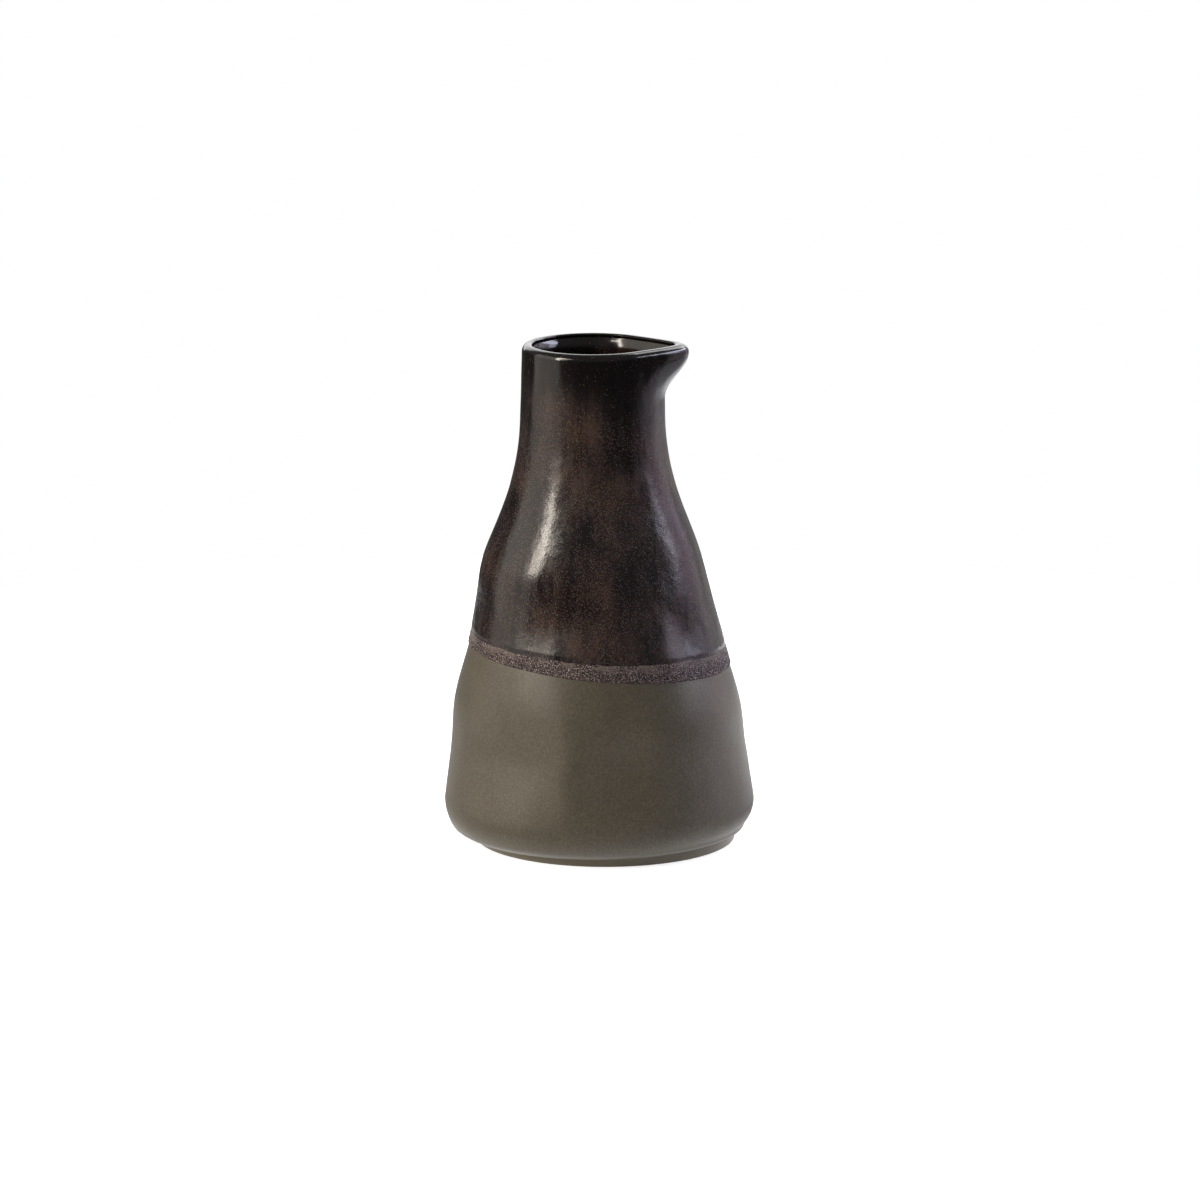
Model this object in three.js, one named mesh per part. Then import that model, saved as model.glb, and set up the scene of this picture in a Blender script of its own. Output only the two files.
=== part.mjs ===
// Sauce jug: a hand-shaped stoneware jug with a pulled spout, its upper half dipped in a dark glaze.
//
// The clay is one fired piece: foot ring, floor, wall, neck and spout. Three coats are fused to it: the dark
// glaze over the upper outside and the rim, the dry rough band along that glaze's lower edge, and the glaze
// that lines the inside. Each piece is turned from its own closed profile. The same hand shaping, which is
// the finger dents, the lean, the tilted dip line and the pulled spout, is then given to all of them, so
// every coat stays seated on the clay.
//
// Millimetres, +Z up. The origin is on the table under the middle of the belly. The spout points along +X.

import * as THREE from "three";

// Foot and floor
const FOOT_RADIUS = 38.9; // outer edge of the turned foot ring
const FOOT_WIDTH = 5; // the ring that touches the table
const FOOT_HEIGHT = 2.6; // table to the root of the foot
const FOOT_HOLLOW = 1.8; // how far the underside is cut back inside the ring
const FOOT_EDGE = 0.5; // chamfer on both edges of the ring
const FLOOR = 4.6; // thickness of the floor
const FLOOR_ROUND = 11; // inner corner between floor and wall

// Clay wall: radius of its outer face at each station, and the rise from the station below
const BELLY_RADIUS = 46.4;
const BELLY_RISE = 9.9;
const WAIST_RADIUS = 44.2;
const WAIST_RISE = 17.5;
const HAUNCH_RADIUS = 43;
const HAUNCH_RISE = 12;
const HIP_RADIUS = 39.3;
const HIP_RISE = 14;
const SHOULDER_RADIUS = 35.7;
const SHOULDER_RISE = 13.5;
const SLOPE_RADIUS = 30.8;
const SLOPE_RISE = 19.5;
const COLLAR_RADIUS = 24;
const COLLAR_RISE = 19.5;
const THROAT_RADIUS = 21.5;
const THROAT_RISE = 12.5;
const NECK_RADIUS = 20.9;
const NECK_RISE = 12.5;
const MOUTH_RADIUS = 20.5;
const MOUTH_RISE = 16;
const WALL = 3.4; // thickness of the clay wall
const LIP_ROUND = 1.5; // rounding of the lip's outer edge
const LIP_EDGE = 0.2; // rounding of its crisper inner edge
const LIP_FLARE = 1.5; // how far the inner face opens out towards the lip
const FLARE_HEIGHT = 4.5; // how far below the lip it begins to

// Coats
const GLAZE = 0.5; // dark glaze on the outside
const LINER = 0.4; // glaze on the inside
const CRUST = 0.35; // dry rough band
const DIP_LINE = 56.6; // table to the lower edge of the band
const CRUST_WIDTH = 4.8; // height of the band
const GLAZE_TURN_IN = 8; // how far the outer glaze runs down inside the lip
const COAT_BEVEL = 0.3; // each coat thins out over this width at its free edges

// Hand shaping
const LEAN = 2; // the neck stands this far behind the belly, away from the spout
const FOOT_SHIFT = 1.7; // the foot ring stands this far off the belly's middle, towards the spout
const FOOT_FADE = 2.5; // the foot's shift fades out over this height above it
const FOOT_TILT = 0.9; // the foot's root is this much higher under the spout and lower at the back
const DIP_TILT = 3.4; // the dip line drops this much under the spout and rises as much at the back
const DIP_SAG = { turn: -100, drop: 0.6, width: 35 }; // its low place; turn and half-width in degrees
const BAND_WIDENING = 0.95; // the band is this much taller under the spout and lower at the back
const SPOUT_REACH = 7.2; // how far the lip is pulled out past the round neck
const SPOUT_DEPTH = 15.5; // how far below the lip the pull begins
const SPOUT_LIP = 2; // upright edge at the top of the pull
const SPOUT_NOSE = 9; // rounding of the spout's tip, in degrees of turn

// Finger dents, and with a negative depth the swells beside them: turn in degrees from the spout,
// anticlockwise seen from above; height above the table; depth; half-width across the wall and half-height
// along it
const DENTS = [
  { turn: -42, height: 65.5, depth: 1.4, across: 4.5, along: 6 },
  { turn: -54, height: 87, depth: 1.7, across: 9, along: 10 },
  { turn: -118, height: 67, depth: 0.7, across: 5, along: 8 },
  { turn: -150, height: 84, depth: -1.4, across: 26, along: 7 },
  { turn: -103, height: 78, depth: 0.8, across: 9, along: 12 },
  { turn: -130, height: 32, depth: 2.5, across: 10, along: 9 },
  { turn: -102.5, height: 28, depth: -0.75, across: 3.5, along: 14 },
  { turn: -77, height: 32, depth: 1.9, across: 9, along: 16 },
  { turn: -61, height: 28, depth: -0.5, across: 7, along: 14 },
  { turn: -22, height: 42, depth: 0.7, across: 8, along: 12 },
  { turn: 20, height: 40, depth: 0.8, across: 14, along: 16 },
  { turn: 75, height: 64, depth: 1.2, across: 12, along: 14 },
  { turn: 118, height: 36, depth: 0.9, across: 17, along: 18 },
  { turn: 178, height: 62, depth: 0.35, across: 9, along: 4 },
  { turn: 150, height: 88, depth: 0.9, across: 11, along: 13 },
  { turn: 40, height: 98, depth: 0.8, across: 9, along: 13 },
];

// Facets
const COLUMNS = 40; // round the jug; a multiple of four puts one on the spout's tip
const WALL_ROW = 9; // tallest facet on the outside of the wall
const NECK_ROW = 5; // tallest facet on the neck
const FLARE_ROW = 2; // tallest facet on the inner face above the seam
const INSIDE_ROW = 14; // tallest facet on the inside below the neck
const ARC_STEPS = 3;
const SLOPE_STEP = 0.5; // half the height over which the wall's slope is taken

// Heights of the wall's stations
const rises = [
  BELLY_RISE,
  WAIST_RISE,
  HAUNCH_RISE,
  HIP_RISE,
  SHOULDER_RISE,
  SLOPE_RISE,
  COLLAR_RISE,
  THROAT_RISE,
  NECK_RISE,
  MOUTH_RISE,
];
const radii = [
  BELLY_RADIUS,
  WAIST_RADIUS,
  HAUNCH_RADIUS,
  HIP_RADIUS,
  SHOULDER_RADIUS,
  SLOPE_RADIUS,
  COLLAR_RADIUS,
  THROAT_RADIUS,
  NECK_RADIUS,
  MOUTH_RADIUS,
];
const stations = [];
rises.reduce((height, rise) => {
  stations.push(height + rise);
  return height + rise;
}, FOOT_HEIGHT);
const [bellyHeight, , , , , , collarHeight, , , mouthHeight] = stations;
const floorTop = FOOT_HOLLOW + FLOOR;
const crustTop = DIP_LINE + CRUST_WIDTH;

const wallCurve = new THREE.CubicInterpolant(Float64Array.from(stations), Float64Array.from(radii), 1);

// Outer radius of the clay wall before it is shaped by hand
function wallRadius(height) {
  return wallCurve.evaluate(height)[0];
}

// Outward direction of the wall's outline at a height
function wallNormal(height) {
  const slope = (wallRadius(height + SLOPE_STEP) - wallRadius(height - SLOPE_STEP)) / (2 * SLOPE_STEP);
  return new THREE.Vector2(1, -slope).normalize();
}

// Even steps from one value to another, without the first
function steps(from, to, count) {
  return Array.from({ length: count }, (_, i) => THREE.MathUtils.lerp(from, to, (i + 1) / count));
}

// The same with as many steps as it takes to keep each one within a size
function rows(from, to, tallest) {
  return steps(from, to, Math.ceil(Math.abs(to - from) / tallest));
}

// Part of an ellipse, without its first point; angles in quarter turns
function arc(x, y, xRadius, yRadius, from, to) {
  return steps(from, to, ARC_STEPS).map((quarter) => {
    const angle = (quarter * Math.PI) / 2;
    return new THREE.Vector2(x + xRadius * Math.cos(angle), y + yRadius * Math.sin(angle));
  });
}

const point = (x, y) => new THREE.Vector2(x, y);

// Outside of the clay from the belly to the lip, with a row on each edge of the rough band
const lipRoot = mouthHeight - LIP_ROUND;
const outside = [
  bellyHeight,
  ...rows(bellyHeight, DIP_LINE, WALL_ROW),
  ...rows(DIP_LINE, crustTop, WALL_ROW),
  ...rows(crustTop, collarHeight, WALL_ROW),
  ...rows(collarHeight, lipRoot, NECK_ROW),
].map((height) => point(wallRadius(height), height));

// Inner face of the clay: a wall's thickness behind the outer one, and opened out towards the lip
function innerFace(height) {
  const flare = LIP_FLARE * Math.max(0, 1 - (mouthHeight - height) / FLARE_HEIGHT) ** 2;
  return point(wallRadius(height) + flare, height).addScaledVector(wallNormal(height), -WALL);
}

// Lip: its rounded outer edge, the land and the crisper inner edge
const lipInner = innerFace(mouthHeight - LIP_EDGE);
const lip = [
  ...arc(MOUTH_RADIUS - LIP_ROUND, lipRoot, LIP_ROUND, LIP_ROUND, 0, 1),
  point(lipInner.x + LIP_EDGE, mouthHeight),
  ...arc(lipInner.x + LIP_EDGE, lipInner.y, LIP_EDGE, mouthHeight - lipInner.y, 1, 2),
];

// Inside of the clay from the lip to the seam of the two glazes, and on to the middle of the floor
const seamHeight = mouthHeight - GLAZE_TURN_IN;
const cornerHeight = floorTop + FLOOR_ROUND;
const turnIn = rows(mouthHeight - LIP_EDGE, seamHeight, FLARE_ROW).map(innerFace);
const insideWall = [
  ...rows(seamHeight, collarHeight, NECK_ROW),
  ...rows(collarHeight, cornerHeight, INSIDE_ROW),
].map(innerFace);
const corner = insideWall.at(-1);
const cornerDrop = corner.y - floorTop;
const inside = [
  ...insideWall,
  ...arc(corner.x - FLOOR_ROUND, corner.y, FLOOR_ROUND, -cornerDrop, 0, 1),
  point((corner.x - FLOOR_ROUND) / 2, floorTop),
  point(0, floorTop),
];

// The clay's whole face from the belly over the lip to the middle of the floor, and its outward directions
const face = [...outside, ...lip, ...turnIn, ...inside];
const faceNormals = face.map((_, i) => {
  const along = face[Math.min(i + 1, face.length - 1)].clone().sub(face[Math.max(i - 1, 0)]);
  return point(along.y, -along.x).normalize();
});

// Closed profile of a coat on the clay's face, from one row to another, with its free edges bevelled. Its
// seat is the clay's own outline run backwards, and the profile says which of its steps that is.
function coatProfile(first, last, thickness) {
  const covered = Array.from({ length: last - first + 1 }, (_, i) => first + i);
  const seat = covered.map((row) => face[row].clone()).reverse();
  const skin = covered.map((row) => face[row].clone().addScaledVector(faceNormals[row], thickness));
  const onAxis = last === middle;
  const drawnBack = (edge, next) => face[next].clone().sub(face[edge]).setLength(COAT_BEVEL);
  skin[0].add(drawnBack(first, first + 1));
  if (!onAxis) skin.at(-1).add(drawnBack(last, last - 1));
  return {
    points: onAxis ? [...seat, ...skin] : [...skin, ...seat, skin[0].clone()],
    seatFirst: onAxis ? 0 : skin.length,
    seatSteps: seat.length - 1,
  };
}

// Rows of the clay's face where one coat ends and the next begins
const bandFoot = outside.findIndex(({ y }) => y === DIP_LINE);
const bandTop = outside.findIndex(({ y }) => y === crustTop);
const seam = outside.length + lip.length + turnIn.length - 1;
const middle = face.length - 1;

// Underside, foot ring and the roll of the belly down to the foot
const footInner = FOOT_RADIUS - FOOT_WIDTH;
const underside = [
  point(0, FOOT_HOLLOW),
  point(footInner - FOOT_HOLLOW, FOOT_HOLLOW),
  point(footInner, FOOT_EDGE),
  point(footInner + FOOT_EDGE, 0),
  point(FOOT_RADIUS - FOOT_EDGE, 0),
  point(FOOT_RADIUS, FOOT_EDGE),
  point(FOOT_RADIUS, FOOT_HEIGHT),
  ...arc(FOOT_RADIUS, bellyHeight, BELLY_RADIUS - FOOT_RADIUS, BELLY_RISE, -1, 0).slice(0, -1),
];

// How far the pull of the spout widens the neck at an angle: the two straight lips are tangents to the neck
const spoutHalfAngle = Math.acos(MOUTH_RADIUS / (MOUTH_RADIUS + SPOUT_REACH));
const noseAngle = THREE.MathUtils.degToRad(SPOUT_NOSE);
function spoutPull(angle, height) {
  const rounded = Math.hypot(angle, noseAngle) - noseAngle;
  const widening = 1 / Math.cos(Math.max(0, spoutHalfAngle - rounded)) - 1;
  return widening * THREE.MathUtils.smoothstep(height, mouthHeight - SPOUT_DEPTH, mouthHeight - SPOUT_LIP);
}

// A smooth hollow, 1 at its middle, from distances in half-widths
function hollow(across, along) {
  return Math.exp(-(across * across + along * along) / 2);
}

// Angle from a turn in degrees to an angle, from minus half a turn to half a turn
function angleFrom(turn, angle) {
  const away = angle - THREE.MathUtils.degToRad(turn);
  return THREE.MathUtils.euclideanModulo(away + Math.PI, 2 * Math.PI) - Math.PI;
}

// Depth pressed into the wall by all the dents
function pressed(angle, height) {
  return DENTS.reduce((sum, dent) => {
    const across = (angleFrom(dent.turn, angle) * wallRadius(height)) / dent.across;
    const along = (height - dent.height) / dent.along;
    return sum + dent.depth * hollow(across, along);
  }, 0);
}

// How far the dip line lies below its own height at an angle
function dipDrop(angle) {
  const across = angleFrom(DIP_SAG.turn, angle) / THREE.MathUtils.degToRad(DIP_SAG.width);
  return DIP_TILT * Math.cos(angle) + DIP_SAG.drop * hollow(across, 0);
}

// Moves a point of the turned form to where the potter's hand left it. The foot was trimmed after the dents,
// at a slant, so they fade out above it.
function handShape(p) {
  const { clamp, smoothstep } = THREE.MathUtils;
  const angle = Math.atan2(p.y, p.x);
  const turned = Math.hypot(p.x, p.y);
  const nearLine = smoothstep(p.z, bellyHeight, DIP_LINE) * (1 - smoothstep(p.z, crustTop, collarHeight));
  const widening = BAND_WIDENING * Math.cos(angle) * smoothstep(p.z, DIP_LINE, crustTop);
  const level = p.z + (widening - dipDrop(angle)) * nearLine;
  const nearRoot = smoothstep(p.z, 0, FOOT_HEIGHT) * (1 - smoothstep(p.z, FOOT_HEIGHT, bellyHeight));
  const slant = FOOT_TILT * nearRoot * smoothstep(turned, footInner, FOOT_RADIUS);
  const height = level + slant * Math.cos(angle);
  const turnedRadius = turned + wallRadius(level) - wallRadius(p.z);
  const onWall = clamp(turnedRadius / (MOUTH_RADIUS - WALL), 0, 1);
  const offFoot = clamp((height - FOOT_HEIGHT) / BELLY_RISE, 0, 1);
  const radius = turnedRadius * (1 + spoutPull(angle, height)) - onWall * offFoot * pressed(angle, height);
  const lean = -LEAN * smoothstep(height, bellyHeight, collarHeight);
  const shift = FOOT_SHIFT * (1 - smoothstep(p.z, FOOT_HEIGHT, FOOT_HEIGHT + FOOT_FADE));
  return p.set(radius * Math.cos(angle) + lean + shift, radius * Math.sin(angle), height);
}

// Splits the seat's four-sided facets along their other diagonal, which gives a coat the clay's own facets
function splitSeat(geometry, { points, seatFirst, seatSteps }) {
  const index = geometry.getIndex();
  for (let column = 0; column < COLUMNS; column++) {
    for (let step = seatFirst; step < seatFirst + seatSteps; step++) {
      const at = 6 * (column * (points.length - 1) + step);
      const [a, b, d, c] = [0, 1, 2, 3].map((k) => index.getX(at + k));
      [a, b, c, a, c, d].forEach((corner, k) => index.setX(at + k, corner));
    }
  }
}

// Turns a profile about the jug's axis, then shapes it by hand
function makePiece(name, profile, look) {
  const geometry = new THREE.LatheGeometry(profile.points, COLUMNS).rotateX(Math.PI / 2);
  if (profile.seatSteps) splitSeat(geometry, profile);
  const position = geometry.getAttribute("position");
  const p = new THREE.Vector3();
  for (let i = 0; i < position.count; i++) {
    handShape(p.fromBufferAttribute(position, i));
    position.setXYZ(i, p.x, p.y, p.z);
  }
  geometry.computeVertexNormals();
  const mesh = new THREE.Mesh(geometry, new THREE.MeshStandardMaterial(look));
  mesh.name = name;
  return mesh;
}

const bareClay = { color: 0x625b4e, roughness: 0.75, metalness: 0 };
const darkGlaze = { color: 0x2d2421, roughness: 0.2, metalness: 0 };
const dryCrust = { color: 0x5a4b48, roughness: 0.9, metalness: 0 };

const jug = new THREE.Group();
jug.add(
  makePiece("stoneware_body", { points: [...underside, ...face] }, bareClay),
  makePiece("outer_glaze", coatProfile(bandTop, seam, GLAZE), darkGlaze),
  makePiece("rough_band", coatProfile(bandFoot, bandTop, CRUST), dryCrust),
  makePiece("liner_glaze", coatProfile(seam, middle, LINER), darkGlaze),
);

export default jug;
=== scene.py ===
import math

import bmesh
import bpy
import numpy as np
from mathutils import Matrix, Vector


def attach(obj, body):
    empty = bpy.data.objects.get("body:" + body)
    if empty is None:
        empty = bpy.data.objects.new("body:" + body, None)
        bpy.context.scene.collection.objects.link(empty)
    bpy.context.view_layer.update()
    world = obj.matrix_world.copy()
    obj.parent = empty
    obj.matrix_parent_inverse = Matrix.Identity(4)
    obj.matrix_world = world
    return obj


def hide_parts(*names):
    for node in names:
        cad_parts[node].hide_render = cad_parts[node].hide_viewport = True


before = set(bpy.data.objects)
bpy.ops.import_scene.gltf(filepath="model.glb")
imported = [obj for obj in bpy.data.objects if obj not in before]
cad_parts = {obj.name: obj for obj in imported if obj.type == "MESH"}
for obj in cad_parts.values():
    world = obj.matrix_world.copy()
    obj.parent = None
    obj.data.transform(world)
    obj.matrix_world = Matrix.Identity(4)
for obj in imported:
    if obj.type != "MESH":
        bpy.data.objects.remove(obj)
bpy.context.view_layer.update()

# Stoneware body: the fired clay, one piece from the foot ring to the lip and the spout. It was turned on a
# wheel, then dented and pulled by hand while it was soft. Its lower half is bare grey-olive stoneware.
MM = 0.001
FOOT_RADIUS = 38.9 * MM
FOOT_WIDTH = 5 * MM
FOOT_HEIGHT = 2.6 * MM
FOOT_HOLLOW = 1.8 * MM
FOOT_EDGE = 0.5 * MM
FOOT_FILLET = 0.4 * MM
FLOOR = 4.6 * MM
FLOOR_ROUND = 11 * MM
WALL = 3.4 * MM
LIP_ROUND = 1.5 * MM
LIP_EDGE = 0.2 * MM
LIP_FLARE = 1.5 * MM
FLARE_HEIGHT = 4.5 * MM
GLAZE_TURN_IN = 8 * MM
DIP_LINE = 56.6 * MM
CRUST_WIDTH = 4.8 * MM

# The wall's outer face: heights above the table and radii, from the belly over the collar to the mouth
WALL_HEIGHTS = np.array([12.5, 30, 42, 56, 69.5, 89, 108.5, 121, 133.5, 149.5]) * MM
WALL_RADII = np.array([46.4, 44.2, 43, 39.3, 35.7, 30.8, 24, 21.5, 20.9, 20.5]) * MM
COLLAR_STATION = 6
belly, collar, mouth = WALL_HEIGHTS[[0, COLLAR_STATION, -1]].tolist()
belly_radius, mouth_outer = WALL_RADII[[0, -1]].tolist()
mouth_inner = mouth_outer - WALL
foot_inner = FOOT_RADIUS - FOOT_WIDTH
roll_start = FOOT_RADIUS + FOOT_FILLET
floor_top = FOOT_HOLLOW + FLOOR
floor_corner = floor_top + FLOOR_ROUND
lip_seam = mouth - GLAZE_TURN_IN
crust_top = DIP_LINE + CRUST_WIDTH

wall_secants = np.diff(WALL_RADII) / np.diff(WALL_HEIGHTS)
middle_slopes = (wall_secants[:-1] + wall_secants[1:]) / 2
wall_slopes = np.concatenate([wall_secants[:1], middle_slopes, wall_secants[-1:]])


def wall_radius(height):
    """Outer radius of the turned wall: cubics through the stations, with the mean slope at each."""
    i = int(np.clip(np.searchsorted(WALL_HEIGHTS, height) - 1, 0, len(wall_secants) - 1))
    rise = WALL_HEIGHTS[i + 1] - WALL_HEIGHTS[i]
    t = np.clip((height - WALL_HEIGHTS[i]) / rise, 0, 1)
    start = (1 + 2 * t) * (1 - t) ** 2 * WALL_RADII[i] + t * (1 - t) ** 2 * rise * wall_slopes[i]
    end = t * t * (3 - 2 * t) * WALL_RADII[i + 1] + t * t * (t - 1) * rise * wall_slopes[i + 1]
    return float(start + end)


def wall_slope(height, step=0.5 * MM):
    return (wall_radius(height + step) - wall_radius(height - step)) / (2 * step)


def smoothstep(value, low, high):
    t = np.clip((value - low) / (high - low), 0, 1)
    return t * t * (3 - 2 * t)


def rows(start, stop, tallest):
    """Heights from one value to another, without the first, in even steps no taller than a size."""
    count = math.ceil(abs(stop - start) / tallest)
    return [start + (stop - start) * (i + 1) / count for i in range(count)]


def arc(centre, radii, start, stop, steps):
    """Part of an ellipse without its first point, with angles in quarter turns."""
    turns = [math.pi / 2 * (start + (stop - start) * (i + 1) / steps) for i in range(steps)]
    return [(centre[0] + radii[0] * math.cos(a), centre[1] + radii[1] * math.sin(a)) for a in turns]


def outside(heights):
    return [(wall_radius(height), height) for height in heights]


def inside(heights):
    """Points of the inner face: a wall's thickness behind the outer one, flared out just under the lip."""
    points = []
    for height in heights:
        slope = wall_slope(height)
        inward = WALL / math.hypot(1, slope)
        flare = LIP_FLARE * max(0, 1 - (mouth - height) / FLARE_HEIGHT) ** 2
        points.append((wall_radius(height) - inward + flare, height + slope * inward))
    return points


FINE_ROW = 0.8 * MM
HIDDEN_ROW = 4 * MM
ARC_STEPS = 5
COLUMNS = 360


def lip():
    """From the top of the outer face to the top of the inner one: a round edge, a land, a crisp edge."""
    outer_edge = arc((mouth_outer - LIP_ROUND, mouth - LIP_ROUND), (LIP_ROUND, LIP_ROUND), 0, 1, ARC_STEPS)
    [(inner_x, inner_z)] = inside([mouth - LIP_EDGE])
    inner_edge = arc((inner_x + LIP_EDGE, inner_z), (LIP_EDGE, mouth - inner_z), 1, 2, ARC_STEPS)
    return [*outer_edge, (inner_x + LIP_EDGE, mouth), *inner_edge]


def bowl(start, tallest):
    """Inside of the clay from a height below the lip down to the middle of the floor."""
    wall = inside([start, *rows(start, floor_corner, tallest)])
    corner_x, corner_z = wall[-1]
    corner = arc((corner_x - FLOOR_ROUND, corner_z), (FLOOR_ROUND, floor_top - corner_z), 0, 1, ARC_STEPS)
    return [*wall, *corner, ((corner_x - FLOOR_ROUND) / 2, floor_top), (0, floor_top)]


body_profile = [
    (0, FOOT_HOLLOW),
    (foot_inner / 2, FOOT_HOLLOW),
    (foot_inner - FOOT_HOLLOW, FOOT_HOLLOW),
    *arc((foot_inner - FOOT_HOLLOW, FOOT_EDGE), (FOOT_HOLLOW, FOOT_HOLLOW - FOOT_EDGE), 1, 0, ARC_STEPS),
    *arc((foot_inner + FOOT_EDGE, FOOT_EDGE), (FOOT_EDGE, FOOT_EDGE), -2, -1, ARC_STEPS),
    (FOOT_RADIUS - FOOT_EDGE, 0),
    *arc((FOOT_RADIUS - FOOT_EDGE, FOOT_EDGE), (FOOT_EDGE, FOOT_EDGE), -1, 0, ARC_STEPS),
    (FOOT_RADIUS, FOOT_HEIGHT - FOOT_FILLET),
    *arc((roll_start, FOOT_HEIGHT - FOOT_FILLET), (FOOT_FILLET, FOOT_FILLET), 2, 1, ARC_STEPS),
    *arc((roll_start, belly), (belly_radius - roll_start, belly - FOOT_HEIGHT), -1, 0, 4 * ARC_STEPS),
    *outside(rows(belly, crust_top, FINE_ROW)),
    *outside(rows(crust_top, mouth - LIP_ROUND, HIDDEN_ROW)),
    *lip(),
    *inside(rows(mouth - LIP_EDGE, lip_seam, FINE_ROW)),
    *bowl(lip_seam, HIDDEN_ROW)[1:],
]


def hex_colour(code):
    """An sRGB hex colour as the linear values that Blender takes."""
    parts = [int(code[i : i + 2], 16) / 255 for i in (1, 3, 5)]
    return (*[p / 12.92 if p <= 0.04045 else ((p + 0.055) / 1.055) ** 2.4 for p in parts], 1.0)


def add(tree, kind, inputs=(), stops=(), **settings):
    """Adds a node with its settings, its inputs by name or in order, and the stops of a colour ramp.

    An input is a value, a socket, a node whose first output is meant, or a list of nodes to join.
    """
    node = tree.nodes.new(kind)
    for name, value in settings.items():
        setattr(node, name, value)
    for key, value in inputs.items() if isinstance(inputs, dict) else enumerate(inputs):
        for source in value if isinstance(value, list) else [value]:
            if isinstance(source, bpy.types.Node):
                source = source.outputs[0]
            if isinstance(source, bpy.types.NodeSocket):
                tree.links.new(source, node.inputs[key])
            else:
                node.inputs[key].default_value = source
    for i, (position, code) in enumerate(stops):
        elements = node.color_ramp.elements
        element = elements[i] if i < len(elements) else elements.new(position)
        element.position = position
        element.color = hex_colour(code)
    return node


# One finger dent, or with a negative depth a swell: deepest at its turn and height, and fading out all round
dent_tree = bpy.data.node_groups.new("finger_dent", "GeometryNodeTree")
for name in ("Angle", "Level", "Radius", "Turn", "Height", "Depth", "Across", "Along"):
    dent_tree.interface.new_socket(name, in_out="INPUT", socket_type="NodeSocketFloat")
dent_tree.interface.new_socket("Pressed", in_out="OUTPUT", socket_type="NodeSocketFloat")
here = add(dent_tree, "NodeGroupInput").outputs
away = add(dent_tree, "ShaderNodeMath", [here["Angle"], here["Turn"]], operation="SUBTRACT")
away = add(dent_tree, "ShaderNodeMath", [away, math.pi, -math.pi], operation="WRAP")
arc_length = add(dent_tree, "ShaderNodeMath", [away, here["Radius"]], operation="MULTIPLY")
across = add(dent_tree, "ShaderNodeMath", [arc_length, here["Across"]], operation="DIVIDE")
climb = add(dent_tree, "ShaderNodeMath", [here["Level"], here["Height"]], operation="SUBTRACT")
along = add(dent_tree, "ShaderNodeMath", [climb, here["Along"]], operation="DIVIDE")
square = add(dent_tree, "ShaderNodeMath", [across, across], operation="MULTIPLY")
square = add(dent_tree, "ShaderNodeMath", [along, along, square], operation="MULTIPLY_ADD")
half = add(dent_tree, "ShaderNodeMath", [square, -0.5], operation="MULTIPLY")
hollow = add(dent_tree, "ShaderNodeMath", [half], operation="EXPONENT")
pressed = add(dent_tree, "ShaderNodeMath", [hollow, here["Depth"]], operation="MULTIPLY")
add(dent_tree, "NodeGroupOutput", {"Pressed": pressed})

# The potter's tree: turns a profile into a closed form, then pulls the spout, presses the dents, leans the
# neck and lets the rows near the dip line and the foot follow them. Every piece of the jug is made by it.
FORM_SIZES = {
    "Lean": 2 * MM,
    "Foot Shift": 1.7 * MM,
    "Foot Fade": 2.5 * MM,
    "Foot Tilt": 0.9 * MM,
    "Dip Tilt": 3.4 * MM,
    "Dip Sag": 0.6 * MM,
    "Dip Sag Turn": math.radians(-100),
    "Dip Sag Width": math.radians(35),
    "Band Widening": 0.95 * MM,
    "Edge Wobble": 1.6 * MM,
    "Hand Wobble": 0.3 * MM,
    "Spout Reach": 7.2 * MM,
    "Spout Depth": 15.5 * MM,
    "Spout Lip": 2 * MM,
    "Spout Nose": math.radians(9),
}
EDGE_RIPPLE = 4 * MM
WOBBLE_SIZE = 11 * MM
WELD = 0.001 * MM
form_tree = bpy.data.node_groups.new("thrown_form", "GeometryNodeTree")
form_tree.interface.new_socket("Profile", in_out="INPUT", socket_type="NodeSocketGeometry")
form_tree.interface.new_socket("Columns", in_out="INPUT", socket_type="NodeSocketInt")
form_tree.interface.new_socket("Material", in_out="INPUT", socket_type="NodeSocketMaterial")
for name in FORM_SIZES:
    form_tree.interface.new_socket(name, in_out="INPUT", socket_type="NodeSocketFloat")
form_tree.interface.new_socket("Form", in_out="OUTPUT", socket_type="NodeSocketGeometry")
size = add(form_tree, "NodeGroupInput").outputs

# Grid of rows and columns: row by row it takes the profile, column by column it goes once round
row_count = add(form_tree, "GeometryNodeAttributeDomainSize", {"Geometry": size["Profile"]})
across_count = add(form_tree, "ShaderNodeMath", [size["Columns"], 1.0], operation="ADD")
grid = add(form_tree, "GeometryNodeMeshGrid", {"Vertices X": row_count, "Vertices Y": across_count})
index = add(form_tree, "GeometryNodeInputIndex")
row = add(form_tree, "ShaderNodeMath", [index, across_count], operation="DIVIDE")
row = add(form_tree, "ShaderNodeMath", [row], operation="FLOOR")
column = add(form_tree, "ShaderNodeMath", [index, across_count], operation="MODULO")
share = add(form_tree, "ShaderNodeMath", [column, size["Columns"]], operation="DIVIDE")
angle = add(form_tree, "ShaderNodeMath", [share, 2 * math.pi, -math.pi], operation="MULTIPLY_ADD")
cosine = add(form_tree, "ShaderNodeMath", [angle], operation="COSINE")
sine = add(form_tree, "ShaderNodeMath", [angle], operation="SINE")
around = add(form_tree, "ShaderNodeCombineXYZ", [cosine, sine])

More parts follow.
